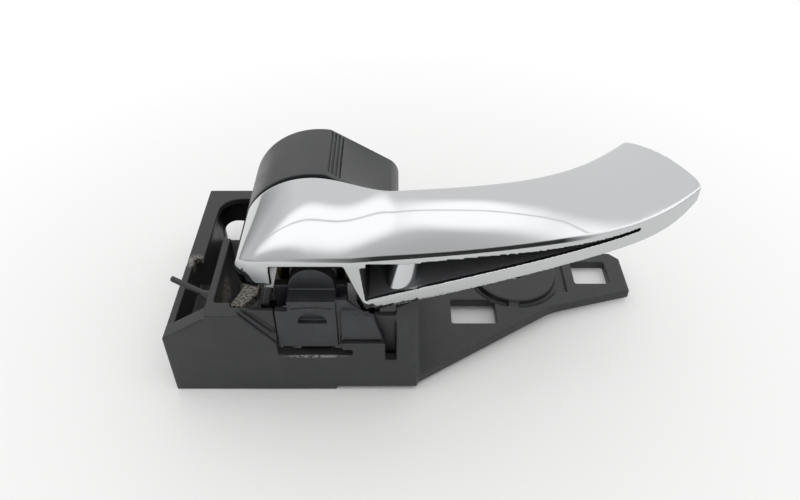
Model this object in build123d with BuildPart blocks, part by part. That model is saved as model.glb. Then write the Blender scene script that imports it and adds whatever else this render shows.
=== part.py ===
"""Car interior door handle: moulded base, plated pull lever and lock knob on one pivot pin."""

import os
from math import cos, radians, sin, sqrt, tan

from build123d import *

os.makedirs("parts", exist_ok=True)

# The origin is the centre of the fixing screw's hole, on the face that meets the door.
# Millimetres: X runs along the handle to the lever's tip, Y from the front to the back, Z out of the door.
screw_to_housing = 34.0
screw_to_front = 46.0
screw_bore = 6.6
boss_radius = 13.8
boss_height = 5.6
moat_width = 1.8
moat_depth = 1.0
moat_end = 17.0
moat_end_depth = 8.6
spoke_width = 3.4
spoke_shift = -1.7

# Housing
housing_length = 72.0
housing_depth = 70.3
rim_height = 22.4
front_height = 31.8
wall = 2.2
front_wall = 3.4
floor_thickness = 2.0
foot_length = 48.0
foot_relief = 1.3
well_margin_left = 20.0
well_margin_front = 12.5
well_margin_back = 14.0
well_margin_right = 6.0
well_corner = 5.0
flange_reach = 4.9
flange_start = 33.0
flange_corner = 7.0
flange_tear = 1.4
channel_wall_x = 13.0
channel_floor = 12.0
channel_length = 33.0
shoulder_depth = 5.3
shoulder_run = 22.6
shoulder_rise_run = 15.2
notch_floor = 17.0
notch_step = 20.0
notch_left = 10.5
notch_right = 7.8
slot_from_right = 6.0
slot_width = 3.0
slot_floor = 23.5
corner_height = 29.0
corner_depth = 35.0
panel_sunk = 1.7
bevel_from_right = 8.0
bevel_height = 20.0
bevel_turn = 33.0
bevel_lean = 22.0
arch_radius = 6.0
arch_height = 9.0
peg_radius = 0.9
peg_root_radius = 2.3
peg_root_length = 4.0
peg_length = 14.4
peg_depth = 12.8
peg_height = 25.8
peg_turn = 21.0
peg_lift = 13.0

# Fixing plate
plate_height = 4.5
plate_reach = 38.0
plate_back = 11.0
plate_end_front = -8.0
plate_knee = 10.6
plate_knee_front = -15.6
plate_knee_round = 25.0
plate_corner = 3.0
near_window = (14.5, 10.5)
near_window_at = (-15.3, -17.6)
far_window = (11.7, 10.7)
far_window_at = (26.2, 1.0)

# Pivot and what turns on it
pivot_from_left = 42.5
pivot_height = 36.0
pin_diameter = 5.0
pin_fit = 0.05
running_gap = 0.1
pin_head_radius = 4.2
pin_head = 1.8
pin_blind = 2.4
pin_groove = 0.6
ear_depth = 7.0
ear_thickness = 4.0
ear_radius = 6.4
rear_ear_radius = 8.2
rear_ear_thickness = 4.5
washer_radius = 6.0
washer_thickness = 0.7
ring_radius = 4.6
ring_thickness = 0.8
barrel_radius = 6.8

# Pull lever
lever_front = 4.2
hub_radius = 22.0
hub_depth = 24.8
hub_corner = 9.0
hub_shoulder = 0.62
hub_clearance = 0.5
skin = 2.3
crown_lead = 0.35
crown_trail = 0.2
crown_round = 1.8
lever_reach = 91.0
lever_tip = 104.5
lever_root = 11.5
crease_height = 11.7
crease_rise = 8.4
crease_sag = 4.2
tip_lift = 7.6
crown_tip_lift = 2.2
tip_bend = 9
crown_height = 16.9
crown_rise = 11.3
crown_bend = 2.4
keel_height = 11.0
keel_drop = 19.2
keel_bend = 1.5
keel_lift = 7.0
keel_tip_bend = 16
keel_corner_in = 0.22
keel_corner_up = 0.2
front_sweep = 14.0
front_bend = 2.6
back_sweep = 24.0
back_bend = 4.0
waist_start = 12.0
waist_end = 84.0
waist_depth = 6.0
waist_arch = 5.3
upper_lip = 2.5
lower_lip = 3.9
hollow_start = 15.3
hollow_end = 89.0
window_left = 10.5
window_top = 9.7
window_slope_top = 2.0
window_slope_foot = -9.5
window_foot = -6.0
web_top = 9.2
web_foot = 14.6
pillar_run = 25.5
pillar_radius = 6.0
tip_shoulder_run = 88.5
tip_shoulder_depth = 9.2
tip_nose_depth = 16.0
tip_round = 3.0
tip_slant = -0.1
tip_heel_depth = 8.7
tip_spare = 0.5
hub_turns = range(80, 0, -10)
arm_steps = 18
hollow_steps = 10

# Lock knob
knob_depth = 24.5
knob_radius = 21.8
knob_wall = 2.4
knob_flat_from = 3.5
knob_flat_slope = 31.5
knob_side = 23.9
knob_corner = 6.0
knob_skirt = 3.0
knob_edge = 0.8
groove_count = 4
groove_pitch = 1.25
groove_width = 0.6
groove_depth = 0.5
groove_margin = 1.6

# Cable cranks and their stops
lever_pull = 38.0
knob_turn = 25.0
crank_width = 7.0
crank_thickness = 4.0
crank_reach = 24.0
hook_radius = 1.6
lever_crank_angle = 250.0
lever_crank_depth = 11.0
knob_crank_angle = 288.0
knob_crank_depth = 10.0
stop_gap = 0.3
stop_pad = 2.4
stop_near = 21.0
stop_far = 26.0
stop_rib = 3.0
stop_rib_depth = 8.0
leaf_thickness = 0.5
leaf_width = 6.0
leaf_seat = 2.0
leaf_clearance = 0.3

# Lever return spring
spring_wire = 1.5
spring_gap = 1.8
spring_turns = 5
spring_pitch = 1.7
spring_start = -15.0
spring_leg = 14.0
spring_tang = 3.0
spring_steps = 12
spring_sides = 8
spring_clearance = 0.4

# Front bearing block
block_depth = 1.8
block_skin = 2.0
block_drop = 0.8
block_shoulder_drop = 4.4
ledge_left = 6.5
ledge_right = 6.7
ledge_thickness = 4.0
block_stem = 4.4
block_fit = 0.2
wing_step = 0.8
wing_gap = 0.8
wing_end_gap = 1.1
wing_shoulder_in = 2.3
wing_shoulder_drop = 7.4
wing_knee_in = 4.9
wing_knee_drop = 6.3
cheek_left = 10.7
cheek_right = 9.5
cheek_drop = 9.0
cheek_thickness = 2.5
catch_radius = 4.15
catch_side = 1.0
catch_slope = 9.0
catch_drop = 10.3

# Places worked out from the sizes above
housing_left = -screw_to_housing - housing_length
housing_front = -screw_to_front
floor_top = foot_relief + floor_thickness
pin_radius = pin_diameter / 2
bore_radius = pin_radius + pin_fit
lever_back = lever_front + hub_depth
ear_back = ear_depth + ear_thickness
barrel_front = ear_back + washer_thickness + 2 * running_gap
knob_front = lever_back + washer_thickness + 2 * running_gap
knob_back = knob_front + knob_depth
ring_front = knob_back + washer_thickness + 2 * running_gap
rear_ear_front = ring_front + ring_thickness + running_gap
rear_ear_back = rear_ear_front + rear_ear_thickness
pivot_at = (pivot_from_left, pivot_height)
stop_low = pivot_height - stop_far
stop_high = pivot_height - stop_near
lever_stop_depth = barrel_front + lever_crank_depth
knob_stop_depth = knob_front + knob_crank_depth
spring_radius = barrel_radius + spring_gap + spring_wire / 2
spring_front = ear_back + spring_clearance + spring_wire / 2
notch_left_x = pivot_from_left - notch_left
notch_right_x = pivot_from_left + notch_right
slot_right_x = housing_length - slot_from_right
slot_left_x = slot_right_x - slot_width
shoulder_end_x = pivot_from_left - hub_radius - hub_clearance
block_left_x = notch_left_x + 2 * block_fit
block_foot = notch_floor + 2 * block_fit
block_top = pivot_height - block_drop
block_shoulder = pivot_height - block_shoulder_drop
ledge_left_x = pivot_from_left - ledge_left
ledge_right_x = pivot_from_left + ledge_right
cheek_left_x = pivot_from_left - cheek_left
cheek_right_x = pivot_from_left + cheek_right
cheek_foot = pivot_height - cheek_drop
wing_x = slot_left_x - wing_end_gap
wing_shoulder = (wing_x - wing_shoulder_in, pivot_height - wing_shoulder_drop)
wing_knee = (wing_x - wing_knee_in, pivot_height - wing_knee_drop)


def flat(height):
    """Level plane whose x and y start at the housing's front left corner."""
    return Plane((housing_left, housing_front, height))


def upright(depth):
    """Plane that faces the front at a depth behind the housing's face; x runs right and y runs up."""
    return Plane((housing_left, housing_front + depth, 0), x_dir=(1, 0, 0), z_dir=(0, -1, 0))


def pivot_plane(depth, angle=0):
    """Upright plane centred on the pivot, turned so that its x runs out at an angle."""
    origin = (housing_left + pivot_from_left, housing_front + depth, pivot_height)
    outward = (cos(radians(angle)), 0, sin(radians(angle)))
    return Plane(origin, x_dir=outward, z_dir=(0, -1, 0))


def station_plane(run):
    """Upright cross plane at a run to the right of the pivot; x runs back and y runs up from the pivot."""
    origin = (housing_left + pivot_from_left + run, housing_front, pivot_height)
    return Plane(origin, x_dir=(0, 1, 0), z_dir=(1, 0, 0))


def hub_station(run):
    """Sizes of the lever's cross section left of the pivot, where its crown follows the hub's round."""
    crown = sqrt(hub_radius**2 - run**2)
    past_corner = max(0.0, -run - hub_radius + hub_corner)
    front = lever_front + hub_corner - sqrt(hub_corner**2 - past_corner**2)
    crease = min(crease_height, hub_shoulder * crown)
    keel = max(keel_height - keel_drop, -crown)
    lead = crown_lead * (1 + run / hub_radius)
    return front, lever_back, crease, crown, keel, lead, 1.0


def arm_station(run):
    """Sizes of the lever's cross section from the pivot to the tip."""
    share = max(0.0, (run - lever_root) / lever_reach)
    near_hub = max(0.0, 1 - run / (2 * lever_root))
    hub_bump = (hub_radius - crown_height) * near_hub**2 * (3 - 2 * near_hub)
    front = lever_front + front_sweep * share**front_bend
    waist_share = min(1.0, max(0.0, (run - waist_start) / (waist_end - waist_start)))
    waist = sin(radians(180 * waist_share)) ** 2
    back = lever_back + back_sweep * share**back_bend - waist_depth * waist
    crease = crease_height + crease_rise * share - crease_sag * share**2 + tip_lift * share**tip_bend
    crown = crown_height + crown_rise * share**crown_bend + crown_tip_lift * share**tip_bend
    crown = crown + hub_bump + waist_arch * waist
    keel = keel_height - keel_drop * max(0.0, 1 - share) ** keel_bend + keel_lift * share**keel_tip_bend
    return front, back, crease, crown, keel, crown_lead, near_hub


def section_edges(sizes):
    """Edges of the lever's cross section: the curved crown, then the straight heel, back, keel and front."""
    front, back, crease, crown, keel, lead, square = sizes
    width = back - front
    heel = crown - crown_round
    brow = (front + lead * width, crown)
    ridge = (back - crown_round, crown)
    trail = (ridge[0] - crown_trail * width, crown)
    corner_in = keel_corner_in * (1 - square) * width
    corner_up = keel_corner_up * (1 - square) * (heel - keel)
    corners = [ridge, (back, heel), (back - corner_in, keel + corner_up), (front, keel), (front, crease)]
    sides = [Edge.make_line(start, end) for start, end in zip(corners, corners[1:])]
    return [Edge.make_bezier((front, crease), brow, trail, ridge)] + sides


def hollow_edges(sizes, front_inset, top_inset, keel_inset):
    """Edges of a straight sided section that lies a skin inside the lever's own."""
    front, back, crease, crown, keel, lead, square = sizes
    width = back - front
    front = front + front_inset
    back = back - skin
    brow = (front + lead * width, (crease + crown) / 2 - top_inset)
    ridge = (back - crown_round, crown - top_inset)
    heel = crown - crown_round - top_inset
    keel = keel + keel_inset
    corner_in = keel_corner_in * (1 - square) * width
    corner_up = keel_corner_up * (1 - square) * (heel - keel)
    corners = [(front, crease - top_inset), brow, ridge, (back, heel), (back - corner_in, keel + corner_up)]
    corners.append((front, keel))
    return [Edge.make_line(start, end) for start, end in zip(corners, corners[1:] + corners[:1])]


def crank(depth, angle):
    """Bar out from the barrel that carries the hook for a cable's end."""
    with BuildPart() as bar:
        with BuildSketch(pivot_plane(depth, angle)):
            with Locations((crank_reach / 2, 0)):
                Rectangle(crank_reach, crank_width)
            with Locations((crank_reach, 0)):
                Circle(crank_width / 2)
                Circle(hook_radius, mode=Mode.SUBTRACT)
        extrude(amount=-crank_thickness)
    return bar.part


def crank_side(angle, height, side):
    """X of a crank's side face, seen from the front, at a height above the floor's datum."""
    drop = pivot_height - height
    lean = radians(angle - 270)
    return pivot_from_left + drop * tan(lean) + side * crank_width / 2 / cos(lean)


def stop_face(angle, side):
    """X of the rib's face that carries the stop pad beside a crank at an angle."""
    reach = max(side * crank_side(angle, height, side) for height in (stop_low, stop_high))
    return side * (reach + stop_gap + stop_pad)


def pad_corners(angle, side):
    """Corners of the wedge that fills the room between a rib's face and a crank at the end of its travel."""
    face = stop_face(angle, side)
    low = crank_side(angle, stop_low, side) + side * stop_gap
    high = crank_side(angle, stop_high, side) + side * stop_gap
    return (low, stop_low), (face, stop_low), (face, stop_high), (high, stop_high)


with BuildPart() as moulding:
    with BuildSketch(flat(foot_relief)):
        with Locations((housing_length / 2, housing_depth / 2)):
            Rectangle(housing_length, housing_depth)
        well_length = housing_length - well_margin_left - well_margin_right
        well_depth = housing_depth - well_margin_front - well_margin_back
        with Locations((well_margin_left + well_length / 2, well_margin_front + well_depth / 2)):
            RectangleRounded(well_length, well_depth, well_corner, mode=Mode.SUBTRACT)
    extrude(amount=floor_thickness)
    # Left, back and right walls
    with BuildSketch(flat(0)):
        with Locations((housing_length / 2, housing_depth / 2)):
            Rectangle(housing_length, housing_depth)
        with Locations((housing_length / 2, housing_depth / 2 - wall)):
            Rectangle(housing_length - 2 * wall, housing_depth, mode=Mode.SUBTRACT)
    extrude(amount=rim_height)
    # Inward flange round the back of the well, with a torn front edge on the left
    with BuildSketch(flat(rim_height - wall)):
        with Locations((housing_length / 2, (housing_depth + flange_start) / 2)):
            Rectangle(housing_length, housing_depth - flange_start)
        mouth = housing_length - 2 * flange_reach
        with Locations((housing_length / 2, housing_depth / 2 - flange_reach)):
            RectangleRounded(mouth, housing_depth, flange_corner, mode=Mode.SUBTRACT)
        tear_near = (flange_reach - flange_tear, flange_start)
        tear_far = (flange_tear, flange_start - flange_tear / 2)
        with Locations(tear_near, tear_far):
            Circle(flange_tear, mode=Mode.SUBTRACT)
    extrude(amount=wall)
    # Front wall with its sloping shoulder, the notch for the bearing block and the raised right corner
    with BuildSketch(upright(0)):
        with BuildLine():
            Polyline(
                (0, 0),
                (0, rim_height),
                (shoulder_rise_run, front_height),
                (shoulder_run, front_height),
                (notch_left_x, notch_step),
                (notch_left_x, notch_floor),
                (notch_right_x, notch_floor),
                (notch_right_x, notch_step),
                (slot_left_x, notch_step),
                (slot_left_x, slot_floor),
                (slot_right_x, slot_floor),
                (slot_right_x, corner_height),
                (housing_length, corner_height),
                (housing_length, 0),
                close=True,
            )
        make_face()
    extrude(amount=-front_wall)
    # Thicker shoulder at the left, and the sunk panel beside the block
    with BuildSketch(upright(0)):
        with BuildLine():
            Polyline(
                (0, 0),
                (0, rim_height),
                (shoulder_rise_run, front_height),
                (shoulder_end_x, front_height),
                (shoulder_end_x, 0),
                close=True,
            )
        make_face()
    extrude(amount=-shoulder_depth)
    with BuildSketch(upright(panel_sunk)):
        with BuildLine():
            Polyline(
                (shoulder_run, front_height),
                (notch_left_x + block_fit / 2, front_height),
                (notch_left_x + block_fit / 2, notch_floor),
                (shoulder_run, notch_floor),
                close=True,
            )
        make_face()
    extrude(amount=panel_sunk - front_wall)
    # Channel for the cables along the left side
    with BuildSketch(flat(0)):
        with Locations((channel_wall_x + wall / 2, channel_length / 2)):
            Rectangle(wall, channel_length)
    extrude(amount=front_height)
    with BuildSketch(flat(channel_floor - wall)):
        with Locations((channel_wall_x / 2, channel_length / 2)):
            Rectangle(channel_wall_x, channel_length)
    extrude(amount=wall)
    # Raised right wall behind the corner
    with BuildSketch(flat(0)):
        with Locations((housing_length - wall / 2, corner_depth / 2)):
            Rectangle(wall, corner_depth)
    extrude(amount=corner_height)
    # Rear ear on its pedestal, with a gusset to the back wall
    with BuildSketch(upright(rear_ear_front)):
        with Locations(pivot_at):
            Circle(rear_ear_radius)
        with Locations((pivot_from_left, (pivot_height + foot_relief) / 2)):
            Rectangle(2 * rear_ear_radius, pivot_height - foot_relief)
    extrude(amount=-rear_ear_thickness)
    with BuildSketch(flat(foot_relief)):
        with Locations((pivot_from_left, (rear_ear_front + housing_depth) / 2)):
            Rectangle(wall, housing_depth - rear_ear_front)
    extrude(amount=rim_height - foot_relief)
    # Ribs that carry the stop pads, each on a bar across the well
    for depth, angle, side in (
        (lever_stop_depth, lever_crank_angle, -1),
        (lever_stop_depth, lever_crank_angle + lever_pull, 1),
        (knob_stop_depth, knob_crank_angle - knob_turn, -1),
        (knob_stop_depth, knob_crank_angle, 1),
    ):
        rib_x = stop_face(angle, side) + side * stop_rib / 2
        with BuildSketch(flat(foot_relief)):
            with Locations((rib_x, housing_depth / 2)):
                Rectangle(stop_rib, housing_depth - 2 * wall)
        extrude(amount=floor_thickness)
        with BuildSketch(flat(foot_relief)):
            with Locations((rib_x, depth + crank_thickness / 2)):
                Rectangle(stop_rib, stop_rib_depth)
        extrude(amount=stop_high - foot_relief)
    # Ledges for the ends of the lock's detent leaf
    for angle, side in ((knob_crank_angle - knob_turn, -1), (knob_crank_angle, 1)):
        with BuildSketch(flat(foot_relief)):
            with Locations((stop_face(angle, side) - side * leaf_seat / 2, knob_stop_depth + crank_thickness / 2)):
                Rectangle(leaf_seat, stop_rib_depth)
        extrude(amount=floor_thickness)
    # Fixing plate
    with BuildSketch(Plane.XY.offset(foot_relief)) as plate:
        with BuildLine():
            Polyline(
                (-screw_to_housing - wall, plate_back),
                (plate_reach - plate_corner, plate_back),
                (plate_reach, plate_back - plate_corner),
                (plate_reach, plate_end_front),
                (plate_knee, plate_knee_front),
                (-screw_to_housing, -screw_to_front + foot_relief),
                (-screw_to_housing - wall, -screw_to_front + foot_relief),
                close=True,
            )
        make_face()
        fillet(plate.vertices().sort_by_distance((plate_knee, plate_knee_front, foot_relief))[0], plate_knee_round)
    extrude(amount=plate_height - foot_relief)
    # Moat round the boss, bridged by a spoke at the front
    with BuildSketch(Plane.XY.offset(plate_height - moat_depth)):
        Circle(boss_radius + moat_width)
        with Locations((moat_end / 2, 0)):
            Rectangle(moat_end, 2 * moat_end_depth)
        with Locations((spoke_shift, -boss_radius)):
            Rectangle(spoke_width, boss_radius, mode=Mode.SUBTRACT)
    extrude(amount=moat_depth, mode=Mode.SUBTRACT)
    with BuildSketch(Plane.XY):
        Circle(boss_radius)
    extrude(amount=boss_height)
    with BuildSketch(Plane.XY.offset(foot_relief)):
        with Locations(near_window_at):
            Rectangle(*near_window)
        with Locations(far_window_at):
            Rectangle(*far_window)
    extrude(amount=boss_height, mode=Mode.SUBTRACT)
    with Locations((0, 0, boss_height)):
        Hole(screw_bore / 2)
    # Relief under the right part of the foot
    with BuildSketch(flat(0)):
        relief_length = housing_length + screw_to_housing - boss_radius - foot_length
        with Locations((foot_length + relief_length / 2, housing_depth / 2)):
            Rectangle(relief_length, housing_depth)
    extrude(amount=foot_relief, mode=Mode.SUBTRACT)
    # Sloping bevel on the front right corner
    bevel_normal = Vector(1, 0, 0).rotate(Axis.Y, -bevel_lean).rotate(Axis.Z, -90 + bevel_turn)
    bevel_origin = (-screw_to_housing - bevel_from_right, housing_front, bevel_height)
    with BuildSketch(Plane(bevel_origin, z_dir=bevel_normal)):
        Rectangle(housing_length, housing_length)
    extrude(amount=housing_length / 2, mode=Mode.SUBTRACT)
    # Arch in the back wall for the cables
    with BuildSketch(upright(housing_depth)):
        with Locations((channel_wall_x / 2 + wall, foot_relief)):
            SlotCenterToCenter(2 * (arch_height - arch_radius), 2 * arch_radius, rotation=90)
    extrude(amount=2 * wall, mode=Mode.SUBTRACT)
    # Bore for the pin, from the back
    with BuildSketch(pivot_plane(rear_ear_front)):
        Circle(bore_radius)
    extrude(amount=-rear_ear_thickness, mode=Mode.SUBTRACT)
    # Slim peg that leans out over the left rim
    peg_root = Vector(housing_left + channel_wall_x, housing_front + peg_depth, peg_height)
    peg_way = Vector(-1, 0, 0).rotate(Axis.Y, peg_lift).rotate(Axis.Z, -peg_turn)
    with BuildSketch(Plane(peg_root, z_dir=peg_way)):
        Circle(peg_root_radius)
    with BuildSketch(Plane(peg_root + peg_way * peg_root_length, z_dir=peg_way)):
        Circle(peg_radius)
    loft()
    with BuildSketch(Plane(peg_root, z_dir=peg_way)):
        Circle(peg_radius)
    extrude(amount=peg_length)

# The moulding is kept as two solids, which meet at the outside of the housing's right wall
housing_right = Plane.YZ.offset(-screw_to_housing)

with BuildPart() as housing:
    add(moulding.part)
    split(bisect_by=housing_right, keep=Keep.BOTTOM)

with BuildPart() as fixing_plate:
    add(moulding.part)
    split(bisect_by=housing_right, keep=Keep.TOP)

with BuildPart() as block:
    # Front panel in the notch, with the ledge on top of it
    with BuildSketch(upright(block_depth)):
        with BuildLine():
            Polyline(
                (block_left_x, block_foot),
                (block_left_x, block_shoulder),
                (ledge_left_x, block_shoulder),
                (ledge_left_x, block_top),
                (ledge_right_x, block_top),
                (ledge_right_x, block_foot),
                close=True,
            )
        make_face()
    extrude(amount=-block_skin)
    with BuildSketch(flat(block_top)):
        with Locations(((ledge_left_x + ledge_right_x) / 2, (block_depth + ear_back) / 2)):
            Rectangle(ledge_right_x - ledge_left_x, ear_back - block_depth)
    extrude(amount=-ledge_thickness)
    # Wing that closes the notch on the right, a step behind the panel
    with BuildSketch(upright(block_depth + wing_step)):
        with BuildLine():
            Polyline(
                (ledge_right_x, block_foot),
                (ledge_right_x, block_top),
                (cheek_right_x, block_top),
                wing_knee,
                wing_shoulder,
                (wing_x, notch_step + wing_gap),
                (notch_right_x - block_fit, notch_step + wing_gap),
                (notch_right_x - block_fit, block_foot),
                close=True,
            )
        make_face()
    extrude(amount=wing_step - block_skin)
    # Cheek in front of the spring
    with BuildSketch(upright(ear_back - cheek_thickness)):
        with Locations(((cheek_left_x + cheek_right_x) / 2, (cheek_foot + block_top) / 2)):
            Rectangle(cheek_right_x - cheek_left_x, block_top - cheek_foot)
    extrude(amount=-cheek_thickness)
    # Stem behind the front wall, down to the floor, with a lug for the spring's leg and the ear on top
    with BuildSketch(upright(front_wall + block_fit)):
        with Locations((pivot_from_left, (block_top + floor_top) / 2)):
            Rectangle(2 * block_stem, block_top - floor_top)
    extrude(amount=front_wall + block_fit - ear_back)
    lug_top = pivot_height - spring_radius - spring_wire / 2 - spring_clearance
    with BuildSketch(upright(ear_back)):
        with Locations((pivot_from_left, (lug_top + floor_top) / 2)):
            Rectangle(2 * block_stem, lug_top - floor_top)
    extrude(amount=-spring_clearance - spring_wire)
    with BuildSketch(upright(ear_depth)):
        with Locations(pivot_at):
            Circle(ear_radius)
    extrude(amount=-ear_thickness)
    # Catch pocket with a round top, deepest at the top
    catch_lean = radians(catch_slope)
    catch_foot = (housing_left + pivot_from_left, housing_front + block_depth, pivot_height - catch_drop)
    catch_plane = Plane(catch_foot, x_dir=(1, 0, 0), z_dir=(0, -cos(catch_lean), sin(catch_lean)))
    with BuildSketch(catch_plane):
        with Locations((0, catch_side)):
            Circle(catch_radius)
            Rectangle(2 * catch_radius, 2 * catch_radius, align=(Align.CENTER, Align.MAX), mode=Mode.SUBTRACT)
            Rectangle(2 * catch_radius, catch_side, align=(Align.CENTER, Align.MAX))
    extrude(amount=block_skin, mode=Mode.SUBTRACT)
    with BuildSketch(pivot_plane(ear_back)):
        Circle(bore_radius)
    extrude(amount=pin_blind, mode=Mode.SUBTRACT)

hub_runs = [-hub_radius * sin(radians(turn)) for turn in hub_turns]
arm_runs = [(lever_tip + tip_spare) * step / arm_steps for step in range(arm_steps + 1)]
hollow_stride = (hollow_end - hollow_start) / hollow_steps
hollow_runs = [hollow_start + hollow_stride * step for step in range(hollow_steps + 1)]
lever_crank = crank(barrel_front + lever_crank_depth, lever_crank_angle)
knob_crank = crank(knob_front + knob_crank_depth, knob_crank_angle)

with BuildPart() as hub_cavity:
    for run in hub_runs:
        inner_run = run * (hub_radius - skin) / hub_radius
        with BuildSketch(station_plane(inner_run)):
            make_face(hollow_edges(hub_station(inner_run), skin, skin, -hub_radius))
    for run in (0, web_top):
        with BuildSketch(station_plane(run)):
            make_face(hollow_edges(arm_station(run), skin, skin, -hub_radius))
    loft(ruled=True)

with BuildPart() as arm_hollow:
    for run in hollow_runs:
        with BuildSketch(station_plane(run)):
            make_face(hollow_edges(arm_station(run), -skin, upper_lip, lower_lip))
    loft(ruled=True)
    # Pillar left standing against the back skin
    with BuildSketch(flat(pivot_height)):
        with Locations((pivot_from_left + pillar_run, lever_back - pillar_radius)):
            Circle(pillar_radius)
    extrude(amount=hub_radius, both=True, mode=Mode.SUBTRACT)

with BuildPart() as lever:
    for run in hub_runs:
        with BuildSketch(station_plane(run)):
            make_face(section_edges(hub_station(run)))
    for run in arm_runs:
        with BuildSketch(station_plane(run)):
            make_face(section_edges(arm_station(run)))
    loft(ruled=True)
    # Rounded tip, cut in plan
    with BuildSketch(flat(0)):
        with BuildLine():
            shoulder = (pivot_from_left + tip_shoulder_run, lever_back + tip_shoulder_depth)
            nose = (pivot_from_left + lever_tip, lever_front + tip_nose_depth)
            heel = (pivot_from_left + lever_tip - tip_round, lever_front + tip_heel_depth)
            Spline(shoulder, nose, heel, tangents=((1, tip_slant), (-1, -1)))
            Polyline(heel, (heel[0], 0), (0, 0), (0, shoulder[1]), shoulder)
        make_face()
    extrude(amount=2 * lever_reach, mode=Mode.INTERSECT)
    add(hub_cavity.part, mode=Mode.SUBTRACT)
    add(arm_hollow.part, mode=Mode.SUBTRACT)
    # Window in the front skin, trimmed to a slope at the left so that the skirt passes the block
    with BuildSketch(pivot_plane(lever_front - skin)):
        with BuildLine():
            Polyline(
                (-window_left, window_top),
                (web_top, window_top),
                (web_foot, window_foot),
                (web_foot, -hub_radius),
                (-hub_radius, -hub_radius),
                (-hub_radius, window_slope_foot),
                (-window_left, window_slope_top),
                close=True,
            )
        make_face()
    extrude(amount=-2 * skin - running_gap, mode=Mode.SUBTRACT)
    with BuildSketch(pivot_plane(lever_front - skin)):
        with BuildLine():
            Polyline((0, window_top), (web_top, window_top), (web_foot, window_foot))
            Polyline((web_foot, window_foot), (web_foot, -hub_radius), (0, -hub_radius), (0, window_top))
        make_face()
    extrude(amount=-hub_depth, mode=Mode.SUBTRACT)
    # Barrel on the pin, with the crank for the release cable
    with BuildSketch(pivot_plane(barrel_front)):
        Circle(barrel_radius)
    extrude(amount=barrel_front - lever_back)
    add(lever_crank)
    with BuildSketch(pivot_plane(barrel_front)):
        Circle(bore_radius)
    extrude(amount=barrel_front - knob_front, mode=Mode.SUBTRACT)

with BuildPart() as knob:
    knob_flat_start = (knob_flat_from, sqrt(knob_radius**2 - knob_flat_from**2))
    knob_flat_end = (knob_side, knob_flat_start[1] - (knob_side - knob_flat_from) * tan(radians(knob_flat_slope)))
    knob_left = (-sqrt(knob_radius**2 - knob_skirt**2), -knob_skirt)
    with BuildSketch(pivot_plane(knob_front)) as knob_profile:
        with BuildLine():
            RadiusArc(knob_left, knob_flat_start, knob_radius)
            FilletPolyline(knob_flat_start, knob_flat_end, (knob_side, -knob_skirt), radius=knob_corner)
            Line((knob_side, -knob_skirt), knob_left)
        make_face()
    extrude(amount=-knob_depth)
    rear_rim = knob.edges().filter_by(Plane.XZ).group_by(Axis.Y)[-1]
    chamfer(rear_rim.sort_by(Axis.Z)[1:], knob_edge)
    with BuildSketch(pivot_plane(knob_front + knob_wall)):
        add(knob_profile.sketch_local.face())
        offset(amount=-knob_wall, mode=Mode.REPLACE)
        with Locations(((knob_side - knob_radius) / 2, -knob_skirt)):
            Rectangle(knob_side + knob_radius - 2 * knob_wall, 2 * (knob_wall + running_gap))
    extrude(amount=2 * knob_wall - knob_depth, mode=Mode.SUBTRACT)
    # Thumb grooves along the top of the flat
    flat_way = (cos(radians(knob_flat_slope)), 0, -sin(radians(knob_flat_slope)))
    flat_normal = (sin(radians(knob_flat_slope)), 0, cos(radians(knob_flat_slope)))
    groove_origin = pivot_plane(knob_front + knob_depth / 2).from_local_coords(Vector(*knob_flat_start))
    with BuildSketch(Plane(groove_origin, x_dir=flat_way, z_dir=flat_normal)):
        with Locations((groove_pitch * groove_count / 2, 0)):
            with GridLocations(groove_pitch, 1, groove_count, 1):
                Rectangle(groove_width, knob_depth - 2 * groove_margin)
    extrude(amount=-groove_depth, mode=Mode.SUBTRACT)
    # Barrel on the pin, with the crank for the lock cable
    with BuildSketch(pivot_plane(knob_front)):
        Circle(barrel_radius)
    extrude(amount=-knob_depth)
    add(knob_crank)
    with BuildSketch(pivot_plane(knob_front)):
        Circle(bore_radius)
    extrude(amount=-knob_depth, mode=Mode.SUBTRACT)

pin_front = ear_back - pin_blind + running_gap
pin_back = rear_ear_back + running_gap
groove_radius = pin_radius - pin_groove

with BuildPart() as pin:
    with BuildSketch(pivot_plane(pin_front)):
        Circle(pin_radius)
    extrude(amount=pin_front - pin_back)
    with BuildSketch(pivot_plane(pin_back)):
        Circle(pin_head_radius)
    extrude(amount=-pin_head)
    with BuildSketch(pivot_plane(ring_front - running_gap / 2)):
        Circle(pin_radius)
        Circle(groove_radius, mode=Mode.SUBTRACT)
    extrude(amount=-ring_thickness - running_gap, mode=Mode.SUBTRACT)
    chamfer(pin.faces().sort_by(Axis.Y)[0].edges(), pin_groove)

with BuildPart() as ring:
    with BuildSketch(pivot_plane(ring_front)):
        Circle(ring_radius)
        Circle(groove_radius + pin_fit, mode=Mode.SUBTRACT)
        with Locations((0, -ring_radius)):
            Rectangle(2 * groove_radius, 2 * ring_radius, mode=Mode.SUBTRACT)
    extrude(amount=-ring_thickness)

with BuildPart() as front_washer:
    with BuildSketch(pivot_plane(ear_back + running_gap)):
        Circle(washer_radius)
        Circle(bore_radius, mode=Mode.SUBTRACT)
    extrude(amount=-washer_thickness)

with BuildPart() as middle_washer:
    with BuildSketch(pivot_plane(lever_back + running_gap)):
        Circle(washer_radius)
        Circle(bore_radius, mode=Mode.SUBTRACT)
    extrude(amount=-washer_thickness)

with BuildPart() as rear_washer:
    with BuildSketch(pivot_plane(knob_back + running_gap)):
        Circle(washer_radius)
        Circle(bore_radius, mode=Mode.SUBTRACT)
    extrude(amount=-washer_thickness)

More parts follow.
